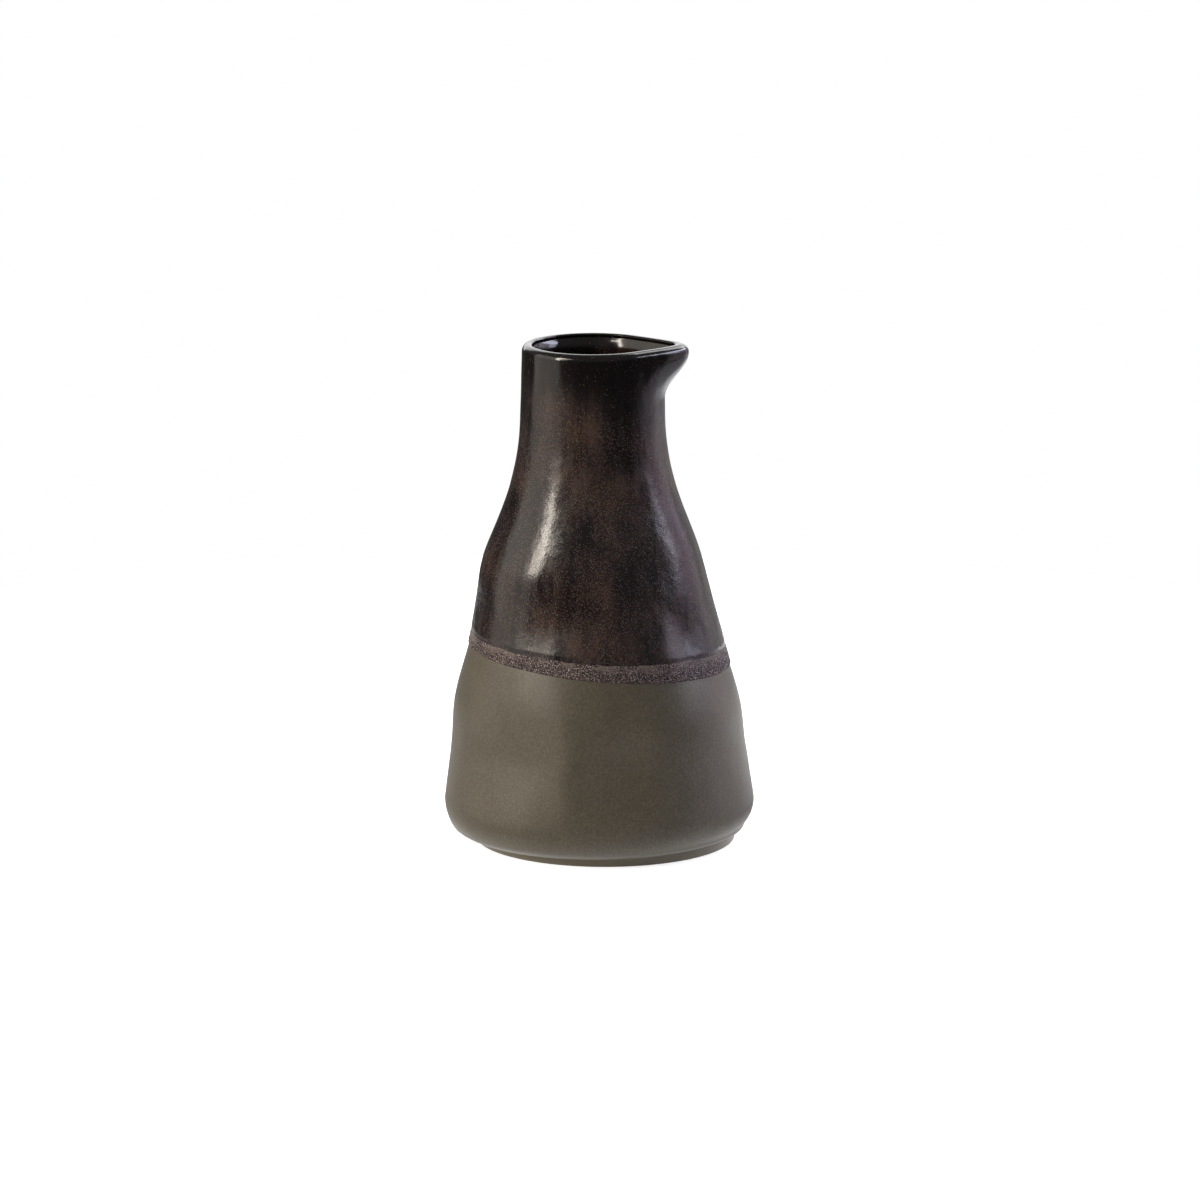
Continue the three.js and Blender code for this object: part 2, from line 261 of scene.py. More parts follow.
# What the profile says of this row
sampled = {}
for name in ("drop_share", "band_share", "foot_share", "slope", "mark"):
    stored = add(form_tree, "GeometryNodeInputNamedAttribute", {"Name": name}, data_type="FLOAT")
    inputs = {"Geometry": size["Profile"], "Value": stored, "Index": row}
    sampled[name] = add(form_tree, "GeometryNodeSampleIndex", inputs, data_type="FLOAT", domain="POINT")
place = add(form_tree, "GeometryNodeInputPosition")
inputs = {"Geometry": size["Profile"], "Value": place, "Index": row}
place = add(form_tree, "GeometryNodeSampleIndex", inputs, data_type="FLOAT_VECTOR", domain="POINT")
place = add(form_tree, "ShaderNodeSeparateXYZ", [place]).outputs

# The dip line is tilted and sags once, and the top of the band above it is ragged. The foot was trimmed at
# a slant.
inputs = {
    "Angle": angle,
    "Radius": 1.0,
    "Turn": size["Dip Sag Turn"],
    "Depth": size["Dip Sag"],
    "Across": size["Dip Sag Width"],
    "Along": 1.0,
}
sag = add(form_tree, "GeometryNodeGroup", inputs, node_tree=dent_tree)
drop = add(form_tree, "ShaderNodeMath", [cosine, size["Dip Tilt"], sag], operation="MULTIPLY_ADD")
drop = add(form_tree, "ShaderNodeMath", [drop, sampled["drop_share"]], operation="MULTIPLY")
inputs = {"Vector": around, "Scale": wall_radius(DIP_LINE) / EDGE_RIPPLE, "Detail": 5.0, "Roughness": 0.6}
ripple = add(form_tree, "ShaderNodeTexNoise", inputs)
ripple = add(form_tree, "ShaderNodeMath", [ripple, 0.5], operation="SUBTRACT")
ragged = add(form_tree, "ShaderNodeMath", [ripple, size["Edge Wobble"]], operation="MULTIPLY")
widen = add(form_tree, "ShaderNodeMath", [cosine, size["Band Widening"], ragged], operation="MULTIPLY_ADD")
widen = add(form_tree, "ShaderNodeMath", [widen, sampled["band_share"]], operation="MULTIPLY")
wall_rise = add(form_tree, "ShaderNodeMath", [widen, drop], operation="SUBTRACT")
foot_rise = add(form_tree, "ShaderNodeMath", [cosine, size["Foot Tilt"]], operation="MULTIPLY")
inputs = [foot_rise, sampled["foot_share"], wall_rise]
rise = add(form_tree, "ShaderNodeMath", inputs, operation="MULTIPLY_ADD")
level = add(form_tree, "ShaderNodeMath", [place["Z"], rise], operation="ADD")
inputs = [wall_rise, sampled["slope"], place["X"]]
radius = add(form_tree, "ShaderNodeMath", inputs, operation="MULTIPLY_ADD")

# The spout: two straight lips that touch the round neck, pulled out most at the lip
tip = add(form_tree, "ShaderNodeMath", [size["Spout Reach"], mouth_outer], operation="ADD")
ratio = add(form_tree, "ShaderNodeMath", [mouth_outer, tip], operation="DIVIDE")
half_angle = add(form_tree, "ShaderNodeMath", [ratio], operation="ARCCOSINE")
nose = add(form_tree, "ShaderNodeCombineXYZ", [angle, size["Spout Nose"]])
nose = add(form_tree, "ShaderNodeVectorMath", [nose], operation="LENGTH").outputs["Value"]
nose = add(form_tree, "ShaderNodeMath", [nose, size["Spout Nose"]], operation="SUBTRACT")
past = add(form_tree, "ShaderNodeMath", [half_angle, nose], operation="SUBTRACT")
past = add(form_tree, "ShaderNodeMath", [past, 0.0], operation="MAXIMUM")
secant = add(form_tree, "ShaderNodeMath", [past], operation="COSINE")
secant = add(form_tree, "ShaderNodeMath", [1.0, secant], operation="DIVIDE")
widening = add(form_tree, "ShaderNodeMath", [secant, 1.0], operation="SUBTRACT")
pull_from = add(form_tree, "ShaderNodeMath", [mouth, size["Spout Depth"]], operation="SUBTRACT")
pull_to = add(form_tree, "ShaderNodeMath", [mouth, size["Spout Lip"]], operation="SUBTRACT")
inputs = [level, pull_from, pull_to]
pulled = add(form_tree, "ShaderNodeMapRange", inputs, interpolation_type="SMOOTHSTEP")
pulled = add(form_tree, "ShaderNodeMath", [pulled, widening, 1.0], operation="MULTIPLY_ADD")

# Dents and swells one after another, on a wall that is a little uneven all over. Each has its turn in degrees
# from the spout, and in millimetres its height above the table, its depth, its half-width across the wall
# and its half-height along it.
DENTS = [
    (-42, 65.5, 1.4, 4.5, 6),
    (-54, 87, 1.7, 9, 10),
    (-118, 67, 0.7, 5, 8),
    (-150, 84, -1.4, 26, 7),
    (-103, 78, 0.8, 9, 12),
    (-130, 32, 2.5, 10, 9),
    (-102.5, 28, -0.75, 3.5, 14),
    (-77, 32, 1.9, 9, 16),
    (-61, 28, -0.5, 7, 14),
    (-22, 42, 0.7, 8, 12),
    (20, 40, 0.8, 14, 16),
    (75, 64, 1.2, 12, 14),
    (118, 36, 0.9, 17, 18),
    (178, 62, 0.35, 9, 4),
    (150, 88, 0.9, 11, 13),
    (40, 98, 0.8, 9, 13),
]
wobble_ring = (collar / 3,) * 3
wall_point = add(form_tree, "ShaderNodeCombineXYZ", {"Z": level})
inputs = [around, wobble_ring, wall_point]
wall_point = add(form_tree, "ShaderNodeVectorMath", inputs, operation="MULTIPLY_ADD")
inputs = {"Vector": wall_point, "Scale": 1 / WOBBLE_SIZE, "Detail": 1.0}
wobble = add(form_tree, "ShaderNodeTexNoise", inputs)
wobble = add(form_tree, "ShaderNodeMath", [wobble, 0.5], operation="SUBTRACT")
total = add(form_tree, "ShaderNodeMath", [wobble, size["Hand Wobble"]], operation="MULTIPLY")
for turn, height, depth, half_width, half_height in DENTS:
    inputs = {
        "Angle": angle,
        "Level": level,
        "Radius": radius,
        "Turn": math.radians(turn),
        "Height": height * MM,
        "Depth": depth * MM,
        "Across": half_width * MM,
        "Along": half_height * MM,
    }
    dent = add(form_tree, "GeometryNodeGroup", inputs, node_tree=dent_tree)
    total = add(form_tree, "ShaderNodeMath", [dent, total], operation="ADD")
on_side = add(form_tree, "ShaderNodeMath", [radius, mouth_inner], operation="DIVIDE", use_clamp=True)
off_table = add(form_tree, "ShaderNodeMapRange", [level, FOOT_HEIGHT, belly])
total = add(form_tree, "ShaderNodeMath", [total, on_side], operation="MULTIPLY")
total = add(form_tree, "ShaderNodeMath", [total, off_table], operation="MULTIPLY")
radius = add(form_tree, "ShaderNodeMath", [radius, pulled], operation="MULTIPLY")
radius = add(form_tree, "ShaderNodeMath", [radius, total], operation="SUBTRACT")

# The neck leans back from the spout, and the foot ring stands off the middle towards it
leaning = add(form_tree, "ShaderNodeMapRange", [level, belly, collar], interpolation_type="SMOOTHSTEP")
leaning = add(form_tree, "ShaderNodeMath", [leaning, size["Lean"]], operation="MULTIPLY")
fade_end = add(form_tree, "ShaderNodeMath", [size["Foot Fade"], FOOT_HEIGHT], operation="ADD")
inputs = [place["Z"], FOOT_HEIGHT, fade_end, 1.0, 0.0]
shifted = add(form_tree, "ShaderNodeMapRange", inputs, interpolation_type="SMOOTHSTEP")
shifted = add(form_tree, "ShaderNodeMath", [shifted, size["Foot Shift"]], operation="MULTIPLY")
shifted = add(form_tree, "ShaderNodeMath", [shifted, leaning], operation="SUBTRACT")
shift = add(form_tree, "ShaderNodeCombineXYZ", {"X": shifted, "Z": level})
spot = add(form_tree, "ShaderNodeVectorMath", {0: around, "Scale": radius}, operation="SCALE")
spot = add(form_tree, "ShaderNodeVectorMath", [spot, shift], operation="ADD")
formed = add(form_tree, "GeometryNodeSetPosition", {"Geometry": grid, "Position": spot})
inputs = {"Geometry": formed, "Name": "mark", "Value": sampled["mark"]}
formed = add(form_tree, "GeometryNodeStoreNamedAttribute", inputs)
formed = add(form_tree, "GeometryNodeMergeByDistance", {"Geometry": formed, "Distance": WELD})
formed = add(form_tree, "GeometryNodeSetShadeSmooth", {"Geometry": formed})
formed = add(form_tree, "GeometryNodeRealizeInstances", {"Geometry": formed})
formed = add(form_tree, "GeometryNodeSetMaterial", {"Geometry": formed, "Material": size["Material"]})
add(form_tree, "NodeGroupOutput", {"Form": formed})


def shape(piece, tree, sizes):
    """Runs a tree of geometry nodes on a piece and keeps the result as its plain mesh, faces outwards."""
    shaping = piece.modifiers.new("shaping", "NODES")
    shaping.node_group = tree
    sockets = {item.name: item.identifier for item in tree.interface.items_tree if item.in_out == "INPUT"}
    for key, value in sizes.items():
        shaping[sockets[key]] = value
    before = piece.data
    evaluated = piece.evaluated_get(bpy.context.evaluated_depsgraph_get())
    mesh = bpy.data.meshes.new_from_object(evaluated)
    piece.modifiers.remove(shaping)
    piece.data = mesh
    bpy.data.meshes.remove(before)
    mesh.name = piece.name
    work = bmesh.new()
    work.from_mesh(mesh)
    bmesh.ops.recalc_face_normals(work, faces=work.faces)
    work.to_mesh(mesh)
    work.free()


def throw(name, profile, columns, material, marks=None):
    """Makes one piece of the jug from its profile. The marks, one a point, are kept for its material."""
    line = bpy.data.meshes.new(name + "_profile")
    line.from_pydata([(r, 0, z) for r, z in profile], [(i, i + 1) for i in range(len(profile) - 1)], [])
    radii, heights = np.array(profile).T
    on_wall = radii > mouth_inner / 2
    above = smoothstep(heights, crust_top, collar)
    near_root = smoothstep(heights, 0, FOOT_HEIGHT) * (1 - smoothstep(heights, FOOT_HEIGHT, belly))
    stored = {
        "drop_share": smoothstep(heights, belly, DIP_LINE) * (1 - above) * on_wall,
        "band_share": smoothstep(heights, DIP_LINE, crust_top) * (1 - above) * on_wall,
        "foot_share": near_root * smoothstep(radii, foot_inner, FOOT_RADIUS),
        "slope": np.array([wall_slope(z) if belly < z < mouth - LIP_ROUND else 0.0 for z in heights]),
        "mark": np.zeros(len(profile)) if marks is None else np.array(marks),
    }
    for key, values in stored.items():
        line.attributes.new(key, "FLOAT", "POINT").data.foreach_set("value", values.astype(np.float32))
    piece = bpy.data.objects.new(name, line)
    bpy.context.scene.collection.objects.link(piece)
    shape(piece, form_tree, {"Columns": columns, "Material": material, **FORM_SIZES})
    return piece


def new_material(name):
    material = bpy.data.materials.new(name)
    material.use_nodes = True
    material.node_tree.nodes.clear()
    return material


# Fired stoneware, unglazed: a fine dense clay with soft cloudy tones, a sandy grain and a satin sheen from
# the sponge. The foot ring is painted paler: painted bounce light from the white table beside it. The grain
# is drawn a little coarser than it is, to show at this distance.
CERAMIC_IOR = 1.5
CLOUD = 12 * MM
CLOUD_WEIGHT = 0.25
SAND = 0.6 * MM
SAND_WEIGHT = 0.75
SAND_DEPTH = 0.04 * MM
SAND_BUMP = 0.5
CLAY_TONES = [(0.3, "#524c40"), (0.5, "#605a4c"), (0.68, "#716a5c")]
FOOT_BOUNCE_TINT = "#7c7462"
SATIN = 0.42
bare_stoneware = new_material("bare_stoneware")
tree = bare_stoneware.node_tree
spot = add(tree, "ShaderNodeTexCoord").outputs["Object"]
clouds = add(tree, "ShaderNodeTexNoise", {"Vector": spot, "Scale": 1 / CLOUD, "Detail": 3.0})
inputs = {"Vector": spot, "Scale": 1 / SAND, "Detail": 2.0, "Roughness": 0.7}
sand = add(tree, "ShaderNodeTexNoise", inputs)
mixed = add(tree, "ShaderNodeMath", [clouds, CLOUD_WEIGHT], operation="MULTIPLY")
mixed = add(tree, "ShaderNodeMath", [sand, SAND_WEIGHT, mixed], operation="MULTIPLY_ADD")
colour = add(tree, "ShaderNodeValToRGB", [mixed], CLAY_TONES)
# Painted bounce light: below the fillet the foot ring is made paler, as if lit by the white table beside it
height = add(tree, "ShaderNodeSeparateXYZ", [spot]).outputs["Z"]
foot_bounce = add(tree, "ShaderNodeMapRange", [height, FOOT_HEIGHT, FOOT_HEIGHT + FOOT_FILLET, 1.0, 0.0])
inputs = {"Factor": foot_bounce, "A": colour, "B": hex_colour(FOOT_BOUNCE_TINT)}
colour = add(tree, "ShaderNodeMix", inputs, data_type="RGBA").outputs["Result"]
bump = add(tree, "ShaderNodeBump", {"Height": sand, "Distance": SAND_DEPTH, "Strength": SAND_BUMP})
inputs = {"Base Color": colour, "Roughness": SATIN, "IOR": CERAMIC_IOR, "Normal": bump}
shader = add(tree, "ShaderNodeBsdfPrincipled", inputs)
add(tree, "ShaderNodeOutputMaterial", {"Surface": shader})

body = throw("bare_clay_body", body_profile, COLUMNS, bare_stoneware)
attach(body, "root")
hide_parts("stoneware_body")

# Liner glaze: dark glaze poured inside, from the floor to the seam below the lip, where the outer coat meets
# it. It is fired on to the clay and shows through the mouth as a deep gloss.
LINER = 0.4 * MM
LINER_ROW = 2 * MM
SEAM_BEVEL = 0.3 * MM


def skin(seat, thickness):
    """Outer face of a coat over a stretch of the clay's outline, its thickness given once or by point."""
    line = np.array(seat)
    along = np.gradient(line, axis=0)
    across = np.stack([along[:, 1], -along[:, 0]], axis=1)
    across /= np.linalg.norm(across, axis=1)[:, None]
    return [(x, z) for x, z in line + across * np.broadcast_to(thickness, len(line))[:, None]]


# Iron glaze, poured, where it lay thick: near black, smooth and glassy, with a few tan specks, drawn a little
# coarser than they are to show at this distance. A speck is full up to one distance from its middle and gone
# at another, both as shares of the spacing.
SPECK_SPACING = 0.3 * MM
LINER_SPECK = (0.15, 0.4, 1.0, 0.0)
LINER_SPECK_SHARE = 0.15
LINER_GLOSS = 0.25
LINER_BLACK = "#17110f"
LINER_TAN = "#5e4c40"
liner_glaze = new_material("poured_iron_glaze")
tree = liner_glaze.node_tree
spot = add(tree, "ShaderNodeTexCoord").outputs["Object"]
specks = add(tree, "ShaderNodeTexVoronoi", {"Vector": spot, "Scale": 1 / SPECK_SPACING})
lot = add(tree, "ShaderNodeSeparateColor", [specks.outputs["Color"]]).outputs
dot = add(tree, "ShaderNodeMapRange", [specks.outputs["Distance"], *LINER_SPECK])
drawn = add(tree, "ShaderNodeMath", [lot["Red"], LINER_SPECK_SHARE], operation="LESS_THAN")
strength = add(tree, "ShaderNodeMath", [dot, drawn], operation="MULTIPLY")
inputs = {"Factor": strength, "A": hex_colour(LINER_BLACK), "B": hex_colour(LINER_TAN)}
colour = add(tree, "ShaderNodeMix", inputs, data_type="RGBA").outputs["Result"]
inputs = {"Base Color": colour, "Roughness": LINER_GLOSS, "IOR": CERAMIC_IOR}
shader = add(tree, "ShaderNodeBsdfPrincipled", inputs)
add(tree, "ShaderNodeOutputMaterial", {"Surface": shader})

liner_seat = bowl(lip_seam, LINER_ROW)
liner_face = skin(liner_seat, LINER)
liner_face[0] = (liner_face[0][0], liner_face[0][1] - SEAM_BEVEL)
liner_face[-1] = (0, floor_top + LINER)
liner = throw("liner_coat", [*reversed(liner_seat), *liner_face], COLUMNS, liner_glaze)
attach(liner, "root")
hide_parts("liner_glaze")

# Outer glaze: the coat that the upper half was dipped in, from the dip line over the lip to the seam inside.
# It is half a millimetre thick and runs thinner towards its lower edge.
GLAZE = 0.5 * MM
THIN_EDGE = 1.5 * MM
EDGE_ROW = THIN_EDGE / 6
EDGE_SHARE = 0.6
SEAM_SHARE = 0.5

# Iron glaze, dipped and fired: near black and glassy, with vertical runs and a fine speckle of violet, grey,
# tan and rust crystals. It is brown where it is thin: in patches, round the collar and low on the front of
# the shoulder. It is darkest near the lip, where it gathered. Along its lower edge it is darker: partly glaze
# that gathered there, partly painted shade along the step down to the crust. The speckle is drawn a little
# coarser than it is, to show at this distance.
PATCH = 16 * MM
PATCH_SEED = 12.85
PATCH_WEIGHT = 0.56
RUN_WIDTH = 3.5 * MM
RUN_STRETCH = 0.12
RUN_WEIGHT = 0.3
EDGE_GATHER_AND_SHADE_WEIGHT = -0.06
THIN_SPOT = (-3 * MM, -36 * MM, 70 * MM)
THIN_SPOT_FADE = (0.0, 24 * MM, 0.09, 0.0)
PEEL = 0.45 * MM
PEEL_WEIGHT = 0.5
GROUND_TONES = [(0.63, "#110d0c"), (0.74, "#1c1413"), (0.86, "#30231f"), (0.98, "#4a3528")]
CRYSTAL_TONES = [(0.0, "#7c688a"), (0.3, "#727c78"), (0.6, "#8e7c66"), (1.0, "#92583e")]
CRYSTAL = (0.2, 0.55, 0.9, 0.0)
CRYSTAL_SHARE = (0.37, 0.61, 0.05, 1.0)
WAVE = 2.5 * MM
WAVE_DEPTH = 0.09 * MM
PEEL_SHARE = 0.3
RUN_GLOSS = (0.3, 0.7, 0.13, 0.24)

# How the glaze changes with height: from one height to another, and its value at each of the two
NECK_THINNESS = (113 * MM, 148 * MM, 0.18, -0.03)
SHOULDER_THINNESS = (99 * MM, 114 * MM, -0.09, 0.0)
LIP_BARENESS = (126 * MM, 143 * MM, 0.0, 0.2)
LIP_WAVES = (134 * MM, 146 * MM, 1.0, 0.2)
LIP_ROUGHNESS = (134 * MM, 146 * MM, 1.0, 0.5)
NECK_ROUGHNESS = (100 * MM, 118 * MM, 1.0, 1.5)
EDGE_ROUGHNESS = (62 * MM, 78 * MM, 1.7, 1.0)
dark_glaze = new_material("iron_gloss_glaze")
tree = dark_glaze.node_tree
spot = add(tree, "ShaderNodeTexCoord").outputs["Object"]
height = add(tree, "ShaderNodeSeparateXYZ", [spot]).outputs["Z"]

# Thinness of the glaze, with painted shade along its lower edge, and the brown ground that it gives
inputs = {"Vector": spot, "W": PATCH_SEED, "Scale": 1 / PATCH, "Detail": 1.0}
patches = add(tree, "ShaderNodeTexNoise", inputs, noise_dimensions="4D")
upright = add(tree, "ShaderNodeMapping", {"Vector": spot, "Scale": (1, 1, RUN_STRETCH)})
runs = add(tree, "ShaderNodeTexNoise", {"Vector": upright, "Scale": 1 / RUN_WIDTH, "Detail": 2.0})
neck = add(tree, "ShaderNodeMapRange", [height, *NECK_THINNESS])
shoulder = add(tree, "ShaderNodeMapRange", [height, *SHOULDER_THINNESS])
away = add(tree, "ShaderNodeVectorMath", [spot, THIN_SPOT], operation="DISTANCE").outputs["Value"]
low_front = add(tree, "ShaderNodeMapRange", [away, *THIN_SPOT_FADE], interpolation_type="SMOOTHSTEP")
# The mark is 1 at the lower edge and fades above it. It darkens the ground there: partly glaze that gathered,
# partly painted shade along the step down to the crust.
gathered_edge_and_shade = add(tree, "ShaderNodeAttribute", attribute_name="mark").outputs["Fac"]
thinness_and_edge_shade = add(tree, "ShaderNodeMath", [neck, shoulder], operation="ADD")
thinness_and_edge_shade = add(tree, "ShaderNodeMath", [thinness_and_edge_shade, low_front], operation="ADD")
for part, weight in ((gathered_edge_and_shade, EDGE_GATHER_AND_SHADE_WEIGHT), (patches, PATCH_WEIGHT), (runs, RUN_WEIGHT)):
    thinness_and_edge_shade = add(tree, "ShaderNodeMath", [part, weight, thinness_and_edge_shade], operation="MULTIPLY_ADD")
inputs = {"Vector": spot, "Scale": 1 / PEEL, "Detail": 3.0, "Roughness": 0.6}
peel = add(tree, "ShaderNodeTexNoise", inputs)
grained = add(tree, "ShaderNodeMath", [peel, PEEL_WEIGHT, thinness_and_edge_shade], operation="MULTIPLY_ADD")
ground = add(tree, "ShaderNodeValToRGB", [grained], GROUND_TONES)

# Crystals, more of them where the glaze is thin and fewer near the lip
specks = add(tree, "ShaderNodeTexVoronoi", {"Vector": spot, "Scale": 1 / SPECK_SPACING})
lot = add(tree, "ShaderNodeSeparateColor", [specks.outputs["Color"]]).outputs
dot = add(tree, "ShaderNodeMapRange", [specks.outputs["Distance"], *CRYSTAL])
bare = add(tree, "ShaderNodeMapRange", [height, *LIP_BARENESS])
likely = add(tree, "ShaderNodeMath", [thinness_and_edge_shade, bare], operation="SUBTRACT")
chance = add(tree, "ShaderNodeMapRange", [likely, *CRYSTAL_SHARE])
drawn = add(tree, "ShaderNodeMath", [lot["Red"], chance], operation="LESS_THAN")
strength = add(tree, "ShaderNodeMath", [lot["Blue"], dot], operation="MULTIPLY")
strength = add(tree, "ShaderNodeMath", [strength, drawn], operation="MULTIPLY")
crystal = add(tree, "ShaderNodeValToRGB", [lot["Green"]], CRYSTAL_TONES)
inputs = {"Factor": strength, "A": ground, "B": crystal}
colour = add(tree, "ShaderNodeMix", inputs, data_type="RGBA").outputs["Result"]

# Slow waves in the gloss. It is smoothest at the lip, softer on the neck and driest near the lower edge.
waves = add(tree, "ShaderNodeTexNoise", {"Vector": spot, "Scale": 1 / WAVE, "Detail": 2.0})
uneven = add(tree, "ShaderNodeMath", [peel, PEEL_SHARE, waves], operation="MULTIPLY_ADD")
wavy = add(tree, "ShaderNodeMapRange", [height, *LIP_WAVES], interpolation_type="SMOOTHSTEP")
bump = add(tree, "ShaderNodeBump", {"Height": uneven, "Distance": WAVE_DEPTH, "Strength": wavy})
gloss = add(tree, "ShaderNodeMapRange", [runs, *RUN_GLOSS])
for fade in (LIP_ROUGHNESS, NECK_ROUGHNESS, EDGE_ROUGHNESS):
    duller = add(tree, "ShaderNodeMapRange", [height, *fade], interpolation_type="SMOOTHSTEP")
    gloss = add(tree, "ShaderNodeMath", [gloss, duller], operation="MULTIPLY")
inputs = {"Base Color": colour, "Roughness": gloss, "IOR": CERAMIC_IOR, "Normal": bump}
shader = add(tree, "ShaderNodeBsdfPrincipled", inputs)
add(tree, "ShaderNodeOutputMaterial", {"Surface": shader})

glaze_wall = [crust_top, *rows(crust_top, crust_top + 2 * THIN_EDGE, EDGE_ROW)]
glaze_seat = [
    *outside([*glaze_wall, *rows(glaze_wall[-1], mouth - LIP_ROUND, FINE_ROW)]),
    *lip(),
    *inside(rows(mouth - LIP_EDGE, lip_seam, FINE_ROW)),
]
above_edge = np.array([z - crust_top for _, z in glaze_seat])
glaze_thickness = GLAZE * (EDGE_SHARE + (1 - EDGE_SHARE) * smoothstep(above_edge, 0, THIN_EDGE))
glaze_thickness[-1] *= SEAM_SHARE
glaze_face = skin(glaze_seat, glaze_thickness)
glaze_back = [
    *outside([crust_top, *rows(crust_top, mouth - LIP_ROUND, HIDDEN_ROW)]),
    *lip(),
    *inside(rows(mouth - LIP_EDGE, lip_seam, HIDDEN_ROW)),
]
glaze_profile = [*glaze_face, *reversed(glaze_back)]
edge_marks = [math.exp(-max(0, z - crust_top) / THIN_EDGE) for _, z in glaze_profile]
glaze = throw("dipped_coat", glaze_profile, COLUMNS, dark_glaze, edge_marks)
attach(glaze, "root")
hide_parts("outer_glaze")

# Rough band: the dry lower edge of the glaze, where it ran thin and crawled into a grainy purple-brown crust.
# It is fired on to the clay like the rest of the glaze, with crumbs stuck in it.
CRUST = 0.35 * MM
CRUST_EDGE = 0.5 * MM
BAND_ROW = 0.27 * MM
BAND_COLUMNS = 900

# Dry glaze crust: matt, purple-grey and foamy, drawn a little coarser than it is. Black pits lie low on it,
# and a pale skin is smeared along its top here and there. At the far left and right its upper part carries a
# whitish
# lace: the lacy lines are its own, and their whiteness there is a painted highlight, where the band turns
# away at grazing. Its mark runs from 0 at the lower edge to 1 at the upper.
CRUMB = 0.29 * MM
CRUMB_DEPTH = 0.1 * MM
CRUMB_BUMP = 0.8
CRUST_TONES = [(0.44, "#0a0606"), (0.505, "#413236"), (0.565, "#6c5857"), (0.64, "#e0d2c9")]
SMEAR = 5 * MM
SMEAR_SKIN = "#7c706a"
SMEAR_PATCHES = (0.42, 0.56)
SMEAR_CLIMB = (0.5, 0.9, 0.0, 0.75)
SHEEN_ENDS = (36 * MM, 40 * MM)
LACE_AND_SHEEN_LEVELS = (0.46, 0.56)
LACE_AND_SHEEN_WHITE = "#d6d0ca"
PIT = 0.9 * MM
PIT_BLACK = "#100b0c"
PIT_EDGE = (0.22, 0.38, 1.0, 0.0)
PIT_CLIMB = (0.35, 0.6, 0.95, 0.0)
DRY = 0.75
dry_crust = new_material("dry_glaze_crust")
tree = dry_crust.node_tree
spot = add(tree, "ShaderNodeTexCoord").outputs["Object"]
climb = add(tree, "ShaderNodeAttribute", attribute_name="mark").outputs["Fac"]
inputs = {"Vector": spot, "Scale": 1 / CRUMB, "Detail": 3.0, "Roughness": 0.65}
crumbs = add(tree, "ShaderNodeTexNoise", inputs)
colour = add(tree, "ShaderNodeValToRGB", [crumbs], CRUST_TONES)
zones = add(tree, "ShaderNodeTexNoise", {"Vector": spot, "Scale": 1 / SMEAR, "Detail": 2.0})
patchy = add(tree, "ShaderNodeMapRange", [zones, *SMEAR_PATCHES])
smeared = add(tree, "ShaderNodeMapRange", [climb, *SMEAR_CLIMB])
smeared = add(tree, "ShaderNodeMath", [smeared, patchy], operation="MULTIPLY")
inputs = {"Factor": smeared, "A": colour, "B": hex_colour(SMEAR_SKIN)}
colour = add(tree, "ShaderNodeMix", inputs, data_type="RGBA").outputs["Result"]
# Painted highlight: the whitish lace is laid only where the band is far left or right of the middle, seen
# from the front, and only on its upper part
side = add(tree, "ShaderNodeSeparateXYZ", [spot]).outputs["X"]
side = add(tree, "ShaderNodeMath", [side], operation="ABSOLUTE")
sheen_ends = add(tree, "ShaderNodeMapRange", [side, *SHEEN_ENDS])
lace_and_sheen = add(tree, "ShaderNodeMapRange", [crumbs, *LACE_AND_SHEEN_LEVELS])
lace_and_sheen = add(tree, "ShaderNodeMath", [lace_and_sheen, climb], operation="MULTIPLY")
lace_and_sheen = add(tree, "ShaderNodeMath", [lace_and_sheen, sheen_ends], operation="MULTIPLY")
inputs = {"Factor": lace_and_sheen, "A": colour, "B": hex_colour(LACE_AND_SHEEN_WHITE)}
colour = add(tree, "ShaderNodeMix", inputs, data_type="RGBA").outputs["Result"]
pits = add(tree, "ShaderNodeTexVoronoi", {"Vector": spot, "Scale": 1 / PIT}).outputs["Distance"]
pits = add(tree, "ShaderNodeMapRange", [pits, *PIT_EDGE])
low = add(tree, "ShaderNodeMapRange", [climb, *PIT_CLIMB])
pits = add(tree, "ShaderNodeMath", [pits, low], operation="MULTIPLY")
pits = add(tree, "ShaderNodeMath", [pits, patchy], operation="MULTIPLY")
inputs = {"Factor": pits, "A": colour, "B": hex_colour(PIT_BLACK)}
colour = add(tree, "ShaderNodeMix", inputs, data_type="RGBA").outputs["Result"]
bump = add(tree, "ShaderNodeBump", {"Height": crumbs, "Distance": CRUMB_DEPTH, "Strength": CRUMB_BUMP})
inputs = {"Base Color": colour, "Roughness": DRY, "IOR": CERAMIC_IOR, "Normal": bump}
shader = add(tree, "ShaderNodeBsdfPrincipled", inputs)
add(tree, "ShaderNodeOutputMaterial", {"Surface": shader})

band_heights = [DIP_LINE, *rows(DIP_LINE, crust_top, BAND_ROW)]
rounded = np.sqrt(1 - (1 - np.clip((np.array(band_heights) - DIP_LINE) / CRUST_EDGE, 0, 1)) ** 2)
band_face = skin(outside(band_heights), CRUST * rounded)
band_back = outside([DIP_LINE, *rows(DIP_LINE, crust_top, HIDDEN_ROW)])
face_marks = [*np.linspace(0, 1, len(band_face)), *[-1.0] * len(band_back)]
band = throw("crust_band", [*band_face, *reversed(band_back)], BAND_COLUMNS, dry_crust, face_marks)

